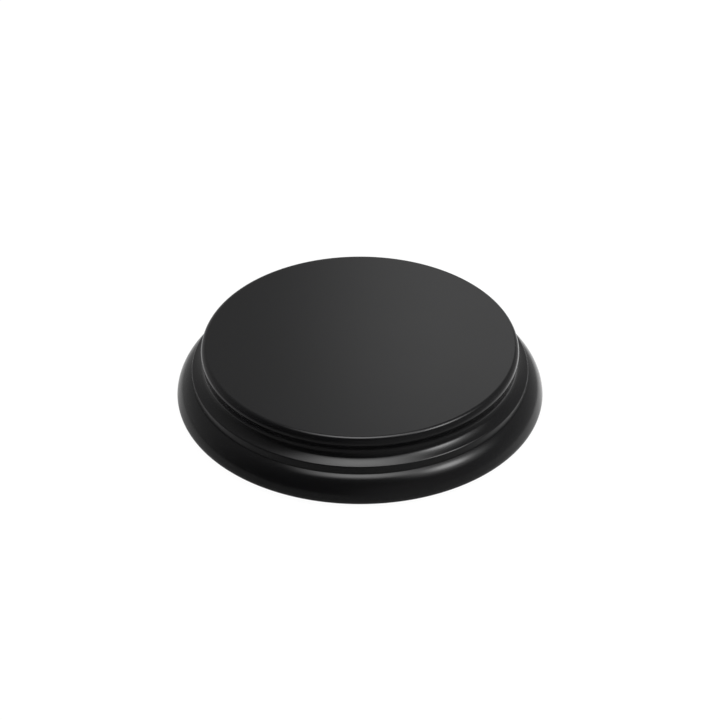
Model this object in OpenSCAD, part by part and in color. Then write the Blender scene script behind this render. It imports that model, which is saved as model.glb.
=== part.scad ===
// Round turned display base: a solid wooden body with a moulded edge,
// and a felt pad glued into a shallow recess in its underside.
// The edge reads, from the top down: flat top, bead, quirk, scotia, fillet,
// and a full foot moulding that rolls under to the flat underside.
// The axis of the turning is Z, and the base stands on Z = 0.
// Angles are those of a surface's normal, in degrees from straight up.

/* [Body] */
// Overall diameter, measured across the foot moulding
base_d = 150; // [120:1:300]
// Height of the turned wood, from its underside to the flat top
body_h = 27.8; // [27.4:0.1:60]

/* [Foot moulding] */
// Radius of the large curve of the foot
foot_r = 10.2; // [8:0.1:12]
// Angle at which the large curve passes into the tighter one
foot_turn = 85; // [75:1:90]
// Radius of the tighter curve that rolls under to the underside
roll_r = 4; // [2:0.1:5]

/* [Fillet] */
// How far the upright fillet stands in from the widest point of the foot
fillet_set = 5.9; // [4:0.1:7]
// Height of the upright fillet
fillet_h = 3.6; // [2:0.1:5]
// Radius that softens the arris between the fillet and the scotia
arris_r = 0.5; // [0.2:0.05:0.8]

/* [Scotia] */
// Radius of the wide curve of its floor
floor_r = 10.7; // [9:0.1:13]
// Angle of the floor where it reaches the fillet
floor_slope = 15; // [8:1:20]
// Angle at which the floor's curve passes into the tighter lower curve
floor_turn = 36; // [30:1:45]
// Radius of the lower curve, between the floor and the throat
lower_r = 3.3; // [2:0.1:4]
// Radius of the upper curve, which runs from the throat out to the quirk
upper_r = 2.8; // [1.8:0.1:3.2]
// Angle at which the upper curve stops, where it reaches the quirk
lip_turn = 140; // [125:1:160]

/* [Bead] */
// How far the edge of the flat top stands in from the widest point of the foot
top_set = 11.8; // [10.5:0.1:14]
// Radius of the bead's upper curve, next to the flat top
bead_r = 1.9; // [1.4:0.1:2.3]
// Angle at which the upper curve passes into the fuller lower one
bead_turn = 56; // [30:1:80]
// Radius of the bead's lower curve, which turns under into the quirk
under_r = 2.5; // [2:0.1:3]
// Depth of the quirk below the flat top, where the bead stops
quirk_depth = 4.5; // [4:0.1:4.7]

/* [Felt pad] */
// Thickness of the felt
felt_t = 1.6; // [1.2:0.1:3]
// Depth of the recess that the felt is glued into
recess_depth = 1; // [0.6:0.1:1.1]
// Width of the wooden rim left around the recess, on the flat underside
rim_w = 6; // [3:0.5:12]
// Gap between the felt's edge and the wall of the recess
felt_gap = 0.25; // [0.1:0.05:0.4]

/* [Hidden] */
$fn = 96;
// How far a cut runs past the wood it removes, and one region into the next
eps = 0.01;
// How far the cut of the scotia's floor runs on past the arris, in degrees
overrun = 5;

// Direction of the normal at an angle, in the plane of the profile
function normal(angle) = [sin(angle), cos(angle)];

base_rad = base_d / 2;
body_z = felt_t - recess_depth;
top_z = body_z + body_h;

// Foot moulding: the centres of its two curves lie on the normal where they meet
roll_centre = [base_rad - roll_r, body_z + roll_r];
foot_centre = roll_centre - (foot_r - roll_r) * normal(foot_turn);

// Fillet: it rises from where the foot's large curve comes in to its radius
fillet_rad = base_rad - fillet_set;
fillet_z = foot_centre.y + sqrt(foot_r ^ 2 - (fillet_rad - foot_centre.x) ^ 2);
arris = [fillet_rad, fillet_z + fillet_h];

// Scotia: the floor and the lower curve are tangent; the throat between the lower
// and the upper curve is upright and takes up what is left of the height
floor_centre = arris + floor_r * normal(floor_slope);
lower_centre = floor_centre - (floor_r - lower_r) * normal(floor_turn);
throat_rad = lower_centre.x - lower_r;
quirk_z = top_z - quirk_depth;
upper_centre = [throat_rad + upper_r, quirk_z + upper_r * cos(lip_turn)];
throat_z = (lower_centre.y + upper_centre.y) / 2;

// Softened arris: a small round that touches the fillet's face and the scotia's floor
arris_drop = sqrt((floor_r + arris_r) ^ 2 - (floor_centre.x - fillet_rad + arris_r) ^ 2);
arris_centre = [fillet_rad - arris_r, floor_centre.y - arris_drop];
arris_turn = acos(arris_drop / (floor_r + arris_r));

// Bead: two curves that meet at one normal, the first tangent to the flat top
bead_centre = [base_rad - top_set, top_z - bead_r];
under_centre = bead_centre - (under_r - bead_r) * normal(bead_turn);

// Underside
recess_rad = roll_centre.x - rim_w;
pad_rad = recess_rad - felt_gap;

module turned_body() {
  color("#1c1c1d")
    rotate_extrude()
      difference() {
        union() {
          foot();
          neck();
          bead();
        }
        translate([-eps, body_z - eps]) square([recess_rad + eps, recess_depth + eps]);
      }
}

// A slice of a disc: the part of it seen from its centre between two angles
module sector(centre, r, from, to) {
  reach = r / cos((to - from) / 2) + eps;
  translate(centre)
    intersection() {
      circle(r = r);
      polygon([[0, 0], reach * normal(from), reach * normal((from + to) / 2), reach * normal(to)]);
    }
}

// A rectangle from its lower inner corner to its upper outer one
module block(low, high) {
  translate(low) square(high - low);
}

// Where two curves are tangent, only the wider one is cut at the normal that they
// share; the tighter one lies inside it there and stays a whole disc
module foot() {
  sector(foot_centre, foot_r, 0, foot_turn);
  translate(roll_centre) circle(r = roll_r);
  block([0, body_z], roll_centre);
}

// The column from the foot up to the quirk, with the scotia turned into it
module neck() {
  difference() {
    block([0, foot_centre.y], [fillet_rad, quirk_z]);
    scotia();
    arris_corner();
  }
}

// The hollow of the scotia, out past the fillet's face
module scotia() {
  sector(floor_centre, floor_r, 180 + floor_slope - overrun, 180 + floor_turn);
  intersection() {
    translate(lower_centre) circle(r = lower_r);
    block([0, 0], [base_rad, throat_z]);
  }
  intersection() {
    translate(upper_centre) circle(r = upper_r);
    block([0, throat_z], [base_rad, top_z]);
  }
  block([throat_rad, lower_centre.y], [base_rad, upper_centre.y]);
  block([upper_centre.x, lower_centre.y], [base_rad, top_z]);
}

// The sliver of wood outside the softened arris
module arris_corner() {
  difference() {
    sector(arris_centre, 2 * arris_r, arris_turn, 90);
    translate(arris_centre) circle(r = arris_r);
  }
}

module bead() {
  block([0, quirk_z - eps], [bead_centre.x, top_z]);
  translate(bead_centre) circle(r = bead_r);
  intersection() {
    sector(under_centre, under_r, bead_turn, 180);
    block([0, quirk_z - eps], [base_rad, top_z]);
  }
}

module felt_pad() {
  color("#202022")
    cylinder(r = pad_rad, h = felt_t);
}

turned_body();
felt_pad();
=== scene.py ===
import math

import bpy
import numpy as np
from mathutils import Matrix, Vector


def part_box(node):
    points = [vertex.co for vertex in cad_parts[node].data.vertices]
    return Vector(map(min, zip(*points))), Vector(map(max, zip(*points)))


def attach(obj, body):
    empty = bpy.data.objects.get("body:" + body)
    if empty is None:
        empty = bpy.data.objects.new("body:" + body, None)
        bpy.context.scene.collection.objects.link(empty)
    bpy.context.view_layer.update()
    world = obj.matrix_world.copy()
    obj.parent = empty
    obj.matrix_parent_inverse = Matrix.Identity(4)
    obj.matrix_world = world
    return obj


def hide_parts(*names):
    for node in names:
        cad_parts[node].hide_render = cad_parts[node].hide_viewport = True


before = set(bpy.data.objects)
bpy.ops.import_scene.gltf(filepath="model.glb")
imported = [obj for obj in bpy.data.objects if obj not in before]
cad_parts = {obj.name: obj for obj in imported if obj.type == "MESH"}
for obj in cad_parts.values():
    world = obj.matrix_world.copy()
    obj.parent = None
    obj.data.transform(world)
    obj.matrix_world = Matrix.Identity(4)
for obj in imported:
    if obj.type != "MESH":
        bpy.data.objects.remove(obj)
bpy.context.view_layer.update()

mm = 0.001
bodyLow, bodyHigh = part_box("turned_body")
padLow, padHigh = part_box("felt_pad")
print("frame loaded: base", round(2 * bodyHigh.x / mm, 1), "mm across and",
      round(bodyHigh.z / mm, 1), "mm high")


# ---- shared helpers ----
def toLinear(hexColour):
    # sRGB hex to the linear colour that shaders expect
    channels = np.array([int(hexColour[i:i + 2], 16) for i in (1, 3, 5)]) / 255
    linear = np.where(channels <= 0.04045, channels / 12.92, ((channels + 0.055) / 1.055) ** 2.4)
    return (*linear.tolist(), 1.0)


def newMaterial(name):
    material = bpy.data.materials.new(name)
    material.use_nodes = True
    tree = material.node_tree
    tree.nodes.clear()
    output = tree.nodes.new("ShaderNodeOutputMaterial")
    return material, tree, output


def addNode(tree, kind, settings=None, inputs=None):
    # adds one node; an input given as a socket is linked, anything else is its value
    node = tree.nodes.new("ShaderNode" + kind)
    for key, value in (settings or {}).items():
        setattr(node, key, value)
    for key, value in (inputs or {}).items():
        if isinstance(value, bpy.types.NodeSocket):
            tree.links.new(value, node.inputs[key])
        else:
            node.inputs[key].default_value = value
    return node


def linkSurface(tree, output, shader):
    tree.links.new(shader.outputs[0], output.inputs["Surface"])


def direction(azimuth, elevation):
    # unit vector towards a place on the sky; azimuth 0 is in front (-Y), 90 is on the right (+X)
    a, e = math.radians(azimuth), math.radians(elevation)
    return Vector((math.sin(a) * math.cos(e), -math.cos(a) * math.cos(e), math.sin(e)))


def turnOutline(name, profile, columns):
    # turned surface: each point of the profile, a radius and a height, is carried round the axis in
    # equal steps, and a fan of triangles closes its first ring and its last to a pole on the axis
    turn = np.linspace(0, 2 * math.pi, columns, endpoint=False)
    rows = len(profile)
    x = profile[:, :1] * np.cos(turn)
    y = profile[:, :1] * np.sin(turn)
    z = np.repeat(profile[:, 1:], columns, 1)
    poles = [[0, 0, profile[0, 1]], [0, 0, profile[-1, 1]]]
    points = np.concatenate([np.stack([x, y, z], -1).reshape(-1, 3), poles])
    i = np.arange(rows - 1)[:, None] * columns
    j = np.arange(columns)[None, :]
    k = (j + 1) % columns
    quads = np.stack([i + j, i + columns + j, i + columns + k, i + k], -1).reshape(-1, 4)
    last = (rows - 1) * columns
    pole = np.full(columns, rows * columns)
    firstFan = np.stack([pole, j[0], k[0]], -1)
    lastFan = np.stack([pole + 1, last + k[0], last + j[0]], -1)
    mesh = bpy.data.meshes.new(name)
    mesh.from_pydata(points.tolist(), [], quads.tolist() + firstFan.tolist() + lastFan.tolist())
    mesh.polygons.foreach_set("use_smooth", np.ones(len(mesh.polygons), bool))
    mesh.update()
    return mesh


# ---- camera: a view without perspective, from in front and well above ----
cameraSet = dict(
    elevation=35.55,  # degrees
    width=295.75 * mm,  # what the frame takes in, side to side
    aimHeight=21.75 * mm,  # the point of the axis at the middle of the frame
    distance=1.5,  # far enough to be clear of the base: it doesn't change the picture
)


def buildCamera(s):
    data = bpy.data.cameras.new("camera")
    data.type = "ORTHO"
    data.ortho_scale = s["width"]
    camera = bpy.data.objects.new("camera", data)
    bpy.context.collection.objects.link(camera)
    back = direction(0, s["elevation"])
    camera.location = Vector((0, 0, s["aimHeight"])) + back * s["distance"]
    camera.rotation_euler = back.to_track_quat("Z", "Y").to_euler()
    bpy.context.scene.camera = camera


buildCamera(cameraSet)
print("camera placed")

# ---- satin black lacquer ----
lacquerSet = dict(
    colour="#101011",
    roughness=0.2,
    roughnessSwing=0.02,  # how much duller and glossier than that its patches are
    cloudSize=25 * mm,  # one such patch
    ior=1.5,
    peelSize=1.6 * mm,  # one cell of the orange peel that spraying leaves
    peelDepth=0.0012 * mm,
    rubWidth=0.35 * mm,  # half the spacing of the rings left by rubbing down on the lathe
    rubDepth=0.0002 * mm,
    rubWaver=1.5,
)


def satinLacquer(s):
    # sprayed over turned hardwood and rubbed down: almost black under a clear, soft gloss, with
    # a trace of orange peel and faint rings round the axis
    material, tree, output = newMaterial("satin black lacquer")
    place = addNode(tree, "TexCoord").outputs["Object"]
    peel = addNode(tree, "TexNoise", inputs={
        "Vector": place, "Scale": 1 / s["peelSize"], "Detail": 2.0})
    cloud = addNode(tree, "TexNoise", inputs={
        "Vector": place, "Scale": 1 / s["cloudSize"], "Detail": 3.0})
    rings = addNode(tree, "TexWave", {"wave_type": "RINGS", "rings_direction": "Z"}, {
        "Vector": place, "Scale": 0.5 / s["rubWidth"] / math.pi, "Distortion": s["rubWaver"],
        "Detail": 2.0,
    })
    rough = addNode(tree, "MapRange", inputs={
        "Value": cloud.outputs["Fac"],
        "To Min": s["roughness"] - s["roughnessSwing"],
        "To Max": s["roughness"] + s["roughnessSwing"],
    })
    peelBump = addNode(tree, "Bump", inputs={
        "Height": peel.outputs["Fac"], "Distance": s["peelDepth"]})
    ringBump = addNode(tree, "Bump", inputs={
        "Height": rings.outputs["Fac"], "Distance": s["rubDepth"],
        "Normal": peelBump.outputs["Normal"],
    })
    skin = addNode(tree, "BsdfPrincipled", inputs={
        "Base Color": toLinear(s["colour"]), "Roughness": rough.outputs["Result"],
        "IOR": s["ior"], "Normal": ringBump.outputs["Normal"],
    })
    linkSurface(tree, output, skin)
    return material


# ---- turned body: a fine lathed surface on which the gloss runs unbroken ----
# Its outline is close to the CAD one but for the neck, where the bead's underside passes into the
# scotia through a wide soft hollow, without the sharp quirk. Angles are those of the surface's
# normal, in degrees from straight up.
bodySet = dict(
    turns=480,
    step=2.5,  # degrees of each curve between two rings
    flatRings=7,  # rings across the flat top
    crisp=0.05 * mm,  # how close a ring lies to an edge, to keep the flat or wall beside it flat
    creaseAngle=30,  # degrees: an edge sharper than this stays an edge
    rollRadius=4 * mm,  # the tight curve that rolls under to the underside
    footRadius=10.2 * mm,  # the large curve of the foot, and where it passes into the tight one
    footTurn=85,
    filletIn=5.9 * mm,  # the upright fillet, in from the widest point of the foot
    filletHeight=3.6 * mm,
    arrisRadius=0.25 * mm,  # the two tight turns of the arris
    rubbedRadius=1.4 * mm,  # the rubbed band between them, and the angles that it spans
    rubbedFrom=34,
    rubbedTo=48,
    floorRadius=11.3 * mm,  # the scotia's floor: its slope at the fillet, and where it passes into
    floorSlope=15,  # the lower curve
    floorTurn=36,
    lowerRadius=2.82 * mm,
    topIn=11.8 * mm,  # the edge of the flat top, in from the widest point of the foot
    beadRadius=1.9 * mm,  # the bead's upper curve, and where it passes into the fuller one below
    beadTurn=56,
    underRadius=3.3 * mm,
    hollowTurn=119,  # where that one passes into the hollow of the neck
    rimWidth=6 * mm,  # the flat rim round the recess
    recessDepth=1 * mm,
)


def normalAt(angle):
    turn = np.radians(angle)
    return np.stack([np.sin(turn), np.cos(turn)], -1)


def outline(s):
    # radius and height from the centre of the top, down the moulding, to the ceiling of the recess:
    # each curve is its centre plus (for a round) or minus (for a hollow) its radius along the
    # normal
    low, high, reach = bodyLow.z, bodyHigh.z, bodyHigh.x

    def curve(centre, radius, start, end):
        angles = np.linspace(start, end, max(3, int(abs(end - start) / s["step"])))
        return centre + radius * normalAt(angles)

    roll = np.array([reach - s["rollRadius"], low + s["rollRadius"]])
    foot = roll - (s["footRadius"] - s["rollRadius"]) * normalAt(s["footTurn"])
    fillet = reach - s["filletIn"]
    ledge = foot[1] + math.sqrt(s["footRadius"] ** 2 - (fillet - foot[0]) ** 2)
    edge = np.array([fillet, ledge + s["filletHeight"]])
    floor = edge + s["floorRadius"] * normalAt(s["floorSlope"])
    lower = floor - (s["floorRadius"] - s["lowerRadius"]) * normalAt(s["floorTurn"])
    # the arris is rubbed down: a nearly flat band between two tight turns
    first, last = (math.sin(math.radians(s[key])) for key in ("rubbedFrom", "rubbedTo"))
    inset = s["arrisRadius"] * (first + 1 - last) + s["rubbedRadius"] * (last - first)
    apart = s["floorRadius"] + s["arrisRadius"]  # the floor's centre and the upper turn's
    arrisTurn = math.degrees(math.asin((floor[0] - fillet + inset) / apart))
    arris = floor - apart * normalAt(arrisTurn)
    rubbed = arris + (s["arrisRadius"] - s["rubbedRadius"]) * normalAt(s["rubbedFrom"])
    corner = rubbed + (s["rubbedRadius"] - s["arrisRadius"]) * normalAt(s["rubbedTo"])
    bead = np.array([reach - s["topIn"], high - s["beadRadius"]])
    under = bead - (s["underRadius"] - s["beadRadius"]) * normalAt(s["beadTurn"])
    # the hollow is as wide as it must be to be upright at the radius where the lower curve begins
    neck = lower[0] - s["lowerRadius"]
    side = math.sin(math.radians(s["hollowTurn"]))
    width = (under[0] + s["underRadius"] * side - neck) / (1 - side)
    hollow = under + (s["underRadius"] + width) * normalAt(s["hollowTurn"])
    footTop = math.degrees(math.asin((fillet - foot[0]) / s["footRadius"]))
    recess = roll[0] - s["rimWidth"]
    ceiling = low + s["recessDepth"]
    flatRadius = np.linspace(0, bead[0], s["flatRings"] + 2)[1:-1]
    flat = np.stack([flatRadius, np.full(s["flatRings"], high)], -1)
    return np.concatenate([
        flat,
        [[bead[0] - s["crisp"], high]],
        curve(bead, s["beadRadius"], 0, s["beadTurn"])[:-1],
        curve(under, s["underRadius"], s["beadTurn"], s["hollowTurn"])[:-1],
        curve(hollow, -width, s["hollowTurn"], 90),
        curve(lower, -s["lowerRadius"], 90, s["floorTurn"])[:-1],
        curve(floor, -s["floorRadius"], s["floorTurn"], arrisTurn)[:-1],
        curve(arris, s["arrisRadius"], arrisTurn, s["rubbedFrom"])[:-1],
        curve(rubbed, s["rubbedRadius"], s["rubbedFrom"], s["rubbedTo"])[:-1],
        curve(corner, s["arrisRadius"], s["rubbedTo"], 90),
        [[fillet, ledge + s["crisp"]], [fillet, ledge]],
        curve(foot, s["footRadius"], footTop, s["footTurn"])[1:-1],
        curve(roll, s["rollRadius"], s["footTurn"], 180),
        [[recess, low], [recess, ceiling]],
    ])


def buildBody(s):
    mesh = turnOutline("turned body", outline(s), s["turns"])
    mesh.set_sharp_from_angle(angle=math.radians(s["creaseAngle"]))
    body = bpy.data.objects.new("lathed_body", mesh)
    bpy.context.collection.objects.link(body)
    mesh.materials.append(satinLacquer(lacquerSet))
    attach(body, "root")
    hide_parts("turned_body")
    return mesh


bodyMesh = buildBody(bodySet)
print("body lathed and lacquered:", len(bodyMesh.polygons), "faces")

# ---- felt pad ----
feltSet = dict(
    colour="#1b1b1e",
    roughness=0.95,
    fibre=0.35 * mm,
    fuzz=0.06 * mm,
    rings=60,
    spokes=360,
    bulge=0.25 * mm,  # how far the cut edge swells
    bulgeSteps=13,
    sheen=0.3,
    sheenRoughness=0.5,
)


def pressedFelt(s):
    material, tree, output = newMaterial("pressed wool felt")
    place = addNode(tree, "TexCoord").outputs["Object"]
    fibre = addNode(tree, "TexNoise", inputs={
        "Vector": place, "Scale": 1 / s["fibre"], "Detail": 4.0})
    bump = addNode(tree, "Bump", inputs={"Height": fibre.outputs["Fac"], "Distance": s["fuzz"]})
    cloth = addNode(tree, "BsdfPrincipled", inputs={
        "Base Color": toLinear(s["colour"]), "Roughness": s["roughness"],
        "Normal": bump.outputs["Normal"],
        "Sheen Weight": s["sheen"], "Sheen Roughness": s["sheenRoughness"],
    })
    linkSurface(tree, output, cloth)
    return material


def buildFelt(s):
    # a disc whose outline runs from the centre of its top, round its cut edge, to the centre of its
    # underside: radius and height are both functions of the distance along that outline, and the
    # cut edge bulges as half an ellipse
    radius, low, high = padHigh.x, padLow.z, padHigh.z
    half = (high - low) / 2
    bulge = s["bulge"]
    edge = np.linspace(math.pi / 2, -math.pi / 2, s["bulgeSteps"])
    flat = np.linspace(0, 1, s["rings"]) * (radius - bulge)
    level = np.ones(len(flat) - 2)
    around = np.concatenate([flat[1:-1], radius - bulge + bulge * np.cos(edge), flat[-2:0:-1]])
    height = np.concatenate([high * level, (high + low) / 2 + half * np.sin(edge), low * level])
    mesh = turnOutline("felt", np.stack([around, height], -1), s["spokes"])
    felt = bpy.data.objects.new("felt_disc", mesh)
    bpy.context.collection.objects.link(felt)
    mesh.materials.append(pressedFelt(s))
    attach(felt, "root")
    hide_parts("felt_pad")


buildFelt(feltSet)
print("felt made")

# ---- floor and light ----
studioSet = dict(
    floorSize=12.0,
    floorColour="#e8e8e8",
    floorGlow=0.93,  # how much of the white floor is its own, so that the shadow on it stays soft
    floorWhite=1.05,  # brings the open floor to white
    fill=0.48,  # what the world gives to matt surfaces
    # the softbox hangs overhead, slopes up to the back, and fades from its middle to its two sides
    # and towards its front edge
    softbox=dict(place=(0, 0.081, 1.0015), faces=(0, -0.621, 0.784), size=(0.84, 1.015),
                 power=10.55, fade=(1, 0, 0), fadeFrom=0.03, fadeTo=0.42, skirt=0, skirtTo=0.42,
                 edge=(0, -0.784, -0.621), edgeFrom=0.34, edgeTo=0.49),
    # the spot on the right has a small bright middle and a wide dim skirt
    spot=dict(place=direction(76, 55) * 1.2, faces=direction(76, 55), size=(1.2, 1.2), power=38,
              fade=(1, 1, 1), fadeFrom=0.08, fadeTo=0.25, skirt=0.2, skirtTo=0.6),
)


def smooth(tree, value, start, end, low, high):
    # eases from low to high as the value goes from start to end
    return addNode(tree, "MapRange", {"interpolation_type": "SMOOTHSTEP"}, {
        "Value": value, "From Min": start, "From Max": end, "To Min": low, "To Max": high,
    }).outputs["Result"]


def combine(tree, operation, first, second):
    return addNode(tree, "Math", {"operation": operation}, {0: first, 1: second}).outputs[0]


def whiteSeen(tree):
    # 1 for the rays that show the background: straight from the camera, or by way of gloss or glass
    path = addNode(tree, "LightPath").outputs
    seen = combine(tree, "MAXIMUM", path["Is Camera Ray"], path["Is Glossy Ray"])
    return combine(tree, "MAXIMUM", seen, path["Is Transmission Ray"])


def stageMesh(name, points, faces, material):
    mesh = bpy.data.meshes.new(name)
    mesh.from_pydata(points, [], faces)
    mesh.materials.append(material)
    piece = bpy.data.objects.new(name, mesh)
    bpy.context.collection.objects.link(piece)
    return piece


def glossOnly(piece):
    # a glowing piece of painted reflection, no lamp, that only the lacquer's reflections show
    piece.visible_camera = False
    piece.visible_diffuse = False
    piece.visible_shadow = False
    piece.visible_transmission = False


def buildFloor(s):
    material, tree, output = newMaterial("pale floor")
    matt = addNode(tree, "BsdfDiffuse", inputs={"Color": toLinear(s["floorColour"])})
    white = addNode(tree, "Emission", inputs={"Strength": s["floorWhite"]})
    lifted = addNode(tree, "MixShader", inputs={
        0: s["floorGlow"], 1: matt.outputs[0], 2: white.outputs[0]})
    mix = addNode(tree, "MixShader", inputs={
        0: whiteSeen(tree), 1: matt.outputs[0], 2: lifted.outputs[0]})
    linkSurface(tree, output, mix)
    h = s["floorSize"] / 2
    stageMesh("floor", [(-h, -h, 0), (h, -h, 0), (h, h, 0), (-h, h, 0)], [(0, 1, 2, 3)], material)


def addLamp(name, s):
    data = bpy.data.lights.new(name, "AREA")
    data.shape = "RECTANGLE"
    data.size, data.size_y = s["size"]
    data.energy = s["power"]
    lamp = bpy.data.objects.new(name, data)
    bpy.context.collection.objects.link(lamp)
    lamp.location = s["place"]
    lamp.rotation_euler = Vector(s["faces"]).to_track_quat("Z", "Y").to_euler()
    data.use_nodes = True
    tree = data.node_tree
    tree.nodes.clear()
    # fades out with the distance from its middle, measured along the axes that fade names
    offset = addNode(tree, "VectorMath", {"operation": "SUBTRACT"}, {
        0: addNode(tree, "NewGeometry").outputs["Position"], 1: tuple(s["place"])}).outputs[0]
    along = addNode(tree, "VectorMath", {"operation": "MULTIPLY"}, {
        0: offset, 1: s["fade"]}).outputs[0]
    reach = addNode(tree, "VectorMath", {"operation": "LENGTH"}, {0: along}).outputs["Value"]
    core = smooth(tree, reach, s["fadeFrom"], s["fadeTo"], 1 - s["skirt"], 0)
    skirt = smooth(tree, reach, s["fadeFrom"], s["skirtTo"], s["skirt"], 0)
    strength = combine(tree, "ADD", core, skirt)
    if "edge" in s:
        # and once more towards one edge
        forward = addNode(tree, "VectorMath", {"operation": "DOT_PRODUCT"}, {
            0: offset, 1: s["edge"]}).outputs["Value"]
        edge = smooth(tree, forward, s["edgeFrom"], s["edgeTo"], 1, 0)
        strength = combine(tree, "MULTIPLY", strength, edge)
    glow = addNode(tree, "Emission", inputs={"Strength": strength})
    linkSurface(tree, addNode(tree, "OutputLight"), glow)


def buildWorld(s):
    world = bpy.data.worlds.new("studio")
    bpy.context.scene.world = world
    world.use_nodes = True
    tree = world.node_tree
    tree.nodes.clear()
    output = tree.nodes.new("ShaderNodeOutputWorld")
    pure = (1, 1, 1, 1)
    fill = addNode(tree, "Background", inputs={"Color": pure, "Strength": s["fill"]})
    white = addNode(tree, "Background", inputs={"Color": pure, "Strength": 1.0})
    mix = addNode(tree, "MixShader", inputs={
        0: whiteSeen(tree), 1: fill.outputs[0], 2: white.outputs[0]})
    linkSurface(tree, output, mix)


buildFloor(studioSet)
buildWorld(studioSet)
addLamp("softbox", studioSet["softbox"])
addLamp("spot", studioSet["spot"])
print("floor and lights set")

# ---- painted reflections that only the gloss shows: the floor in front with the base's painted shadow, glowing walls behind ----
tentSet = dict(
    radius=3.0,
    rings=24,
    spokes=72,
    walls=0.5,  # painted reflection of walls: a glow that begins at the sides and is brightest behind
    wallStart=-0.6,
    wallEnd=1.1,
    reflector=0.18,  # painted reflection of a dim reflector to the right of the camera
    reflectorAzimuth=50,
    reflectorStart=0.3,
    thinning=0.6,  # how much darker it all is straight overhead
    paintedShadowFront=0.16,  # painted shadow: the floor's painted reflection close in front of the base, dark as in the base's shadow
    paintedLightLeft=0.36,  # painted light that it gets at the left side, and at the right
    paintedLightRight=0.66,
    paintedLightBehind=0.5,  # how much more of all that there is from its sides backwards
    paintedPoolAzimuth=60,  # where the painted pool of light from the reflector is brightest, and how many times brighter it is
    paintedPoolGain=1.5,
    # each of those eases in between two cosines of the angle from where it is strongest
    paintedLightSides=(-0.5, 0.5),  # from the left to the right
    paintedLightBack=(-0.9, 0.15),  # the light that is added, from the front to the sides
    paintedLightBehindBack=(-0.15, 0.3),
    paintedPoolSpread=(0.3, 1),
    paintedContactShade=0.3,  # painted contact shade: what is left of it right under the base, and the radii between which that ends
    paintedContactShadeFrom=62 * mm,
    paintedContactShadeTo=78 * mm,
    paintedFloorNear=80 * mm,  # where it starts to ease into what the walls give, and where it gets there
    paintedFloorFar=170 * mm,
    paintedFloorLift=0.05 * mm,  # above the floor
)


def towards(tree, away, azimuth):
    # the cosine of the angle from that azimuth: 1 straight towards it, -1 straight away
    return addNode(tree, "VectorMath", {"operation": "DOT_PRODUCT"}, {
        0: away, 1: direction(azimuth, 0)}).outputs["Value"]


def tentLight(tree, s, away):
    # painted reflection: walls that rise in brightness towards the back, and a reflector on the
    # right, as a glow
    light = smooth(tree, towards(tree, away, 180), s["wallStart"], s["wallEnd"], 0, s["walls"])
    reflectorLight = smooth(tree, towards(tree, away, s["reflectorAzimuth"]),
                  s["reflectorStart"], 1, 0, s["reflector"])
    height = addNode(tree, "SeparateXYZ", inputs={0: away}).outputs["Z"]
    fade = combine(tree, "ADD", combine(tree, "MULTIPLY", height, -s["thinning"]), 1)
    return combine(tree, "MULTIPLY", combine(tree, "ADD", light, reflectorLight), fade)


def paintedFloorLight(tree, s, flat, away):
    # painted reflection of the floor: painted shadow in front of the base, painted contact shade
    # right under it, painted light from its sides on, more so on the right and behind, and like the
    # walls far off
    reach = addNode(tree, "VectorMath", {"operation": "LENGTH"}, {0: flat}).outputs["Value"]
    right = smooth(tree, towards(tree, away, 90), *s["paintedLightSides"], s["paintedLightLeft"], s["paintedLightRight"])
    lit = smooth(tree, towards(tree, away, 180), *s["paintedLightBack"], 0, 1)
    reflectorLight = smooth(tree, towards(tree, away, s["paintedPoolAzimuth"]), *s["paintedPoolSpread"],
                  s["paintedShadowFront"], s["paintedPoolGain"] * s["paintedShadowFront"])
    shade = smooth(tree, reach, s["paintedContactShadeFrom"], s["paintedContactShadeTo"], s["paintedContactShade"], 1)
    close = combine(tree, "ADD", combine(tree, "MULTIPLY", right, lit), reflectorLight)
    behind = smooth(tree, towards(tree, away, 180), *s["paintedLightBehindBack"], 1, 1 + s["paintedLightBehind"])
    close = combine(tree, "MULTIPLY", combine(tree, "MULTIPLY", close, shade), behind)
    return addNode(tree, "Mix", {"data_type": "FLOAT"}, {
        "Factor": smooth(tree, reach, s["paintedFloorNear"], s["paintedFloorFar"], 0, 1),
        "A": close, "B": tentLight(tree, s, away),
    }).outputs["Result"]


def glowing(tree, output, strength):
    linkSurface(tree, output, addNode(tree, "Emission", inputs={"Strength": strength}))


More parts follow.
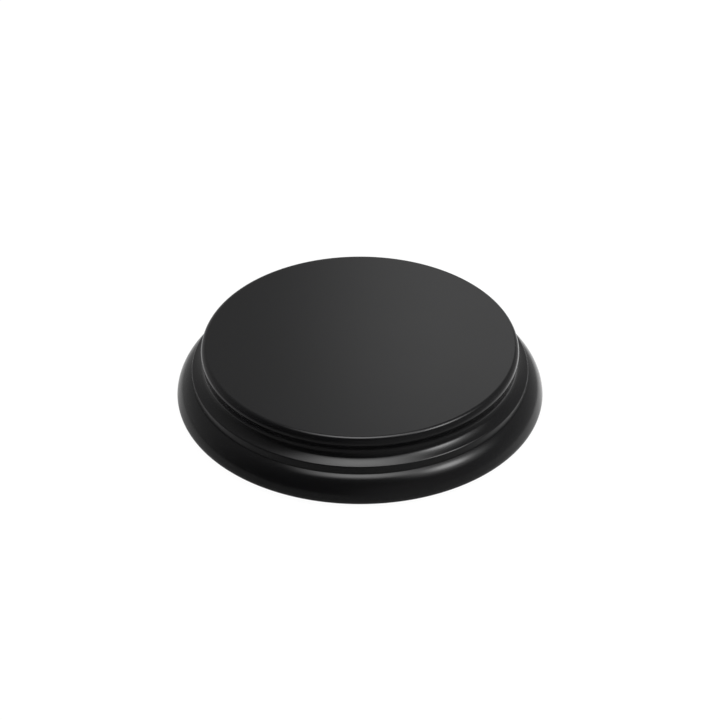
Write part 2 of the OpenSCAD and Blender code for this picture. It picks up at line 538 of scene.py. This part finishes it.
def buildTent(s):
    # half a sphere over the base, whose height is the sine and radius the cosine of the elevation,
    # and a flat disc that fills its rim
    # the tent glows though it is no lamp: painted reflections of walls and a reflector, which only
    # the gloss shows
    material, tree, output = newMaterial("tent")
    place = addNode(tree, "TexCoord").outputs["Object"]
    away = addNode(tree, "VectorMath", {"operation": "NORMALIZE"}, {0: place}).outputs[0]
    glowing(tree, output, tentLight(tree, s, away))
    up = np.linspace(0, math.pi / 2, s["rings"])
    turn = np.linspace(0, 2 * math.pi, s["spokes"], endpoint=False)
    x = s["radius"] * np.cos(up)[:, None] * np.cos(turn)
    y = s["radius"] * np.cos(up)[:, None] * np.sin(turn)
    z = s["radius"] * np.repeat(np.sin(up)[:, None], len(turn), 1)
    grid = np.stack([x, y, z], -1).reshape(-1, 3)
    i = np.arange(len(up) - 1)[:, None] * len(turn)
    j = np.arange(len(turn))[None, :]
    k = (j + 1) % len(turn)
    quads = np.stack([i + j, i + k, i + len(turn) + k, i + len(turn) + j], -1).reshape(-1, 4)
    tent = stageMesh("tent", grid.tolist(), quads.tolist(), material)
    glossOnly(tent)
    # a disc that glows though it is no lamp: the floor's painted reflection, with the base's painted
    # shadow in front and painted contact shade right under it
    material, tree, output = newMaterial("painted floor reflection")
    place = addNode(tree, "TexCoord").outputs["Object"]
    flat = addNode(tree, "VectorMath", {"operation": "MULTIPLY"}, {
        0: place, 1: (1, 1, 0)}).outputs[0]
    away = addNode(tree, "VectorMath", {"operation": "NORMALIZE"}, {0: flat}).outputs[0]
    glowing(tree, output, paintedFloorLight(tree, s, flat, away))
    rim = np.stack([x[0], y[0], np.full(len(turn), s["paintedFloorLift"])], -1)
    cloth = stageMesh("painted_floor_reflection", rim.tolist(), [list(range(len(turn)))], material)
    glossOnly(cloth)


buildTent(tentSet)

panelSet = dict(
    distance=0.35,  # behind the axis
    width=0.34,
    bottom=0.18,
    top=0.345,
    dim=0.31,
    bright=0.91,
    brightFrom=-45 * mm,
    brightTo=30 * mm,
    highest=0.26,  # the brightest height
    fadeHeight=0.12,
    fade=0.35,
)


def buildPanel(s):
    # painted reflection: a glowing panel, no lamp, that only the flat top's gloss mirrors: brighter
    # to the right, and fading upwards
    material, tree, output = newMaterial("back panel")
    place = addNode(tree, "SeparateXYZ", inputs={
        0: addNode(tree, "TexCoord").outputs["Object"]}).outputs
    across = smooth(tree, place["X"], s["brightFrom"], s["brightTo"], s["dim"], s["bright"])
    above = smooth(tree, place["Z"], s["highest"], s["highest"] + s["fadeHeight"], 1, 1 - s["fade"])
    glowing(tree, output, combine(tree, "MULTIPLY", across, above))
    w, y = s["width"] / 2, s["distance"]
    panel = stageMesh("back_panel", [
        (-w, y, s["bottom"]), (w, y, s["bottom"]), (w, y, s["top"]), (-w, y, s["top"]),
    ], [(0, 1, 2, 3)], material)
    glossOnly(panel)


buildPanel(panelSet)
print("reflections set")

bpy.context.scene.view_settings.view_transform = "Standard"
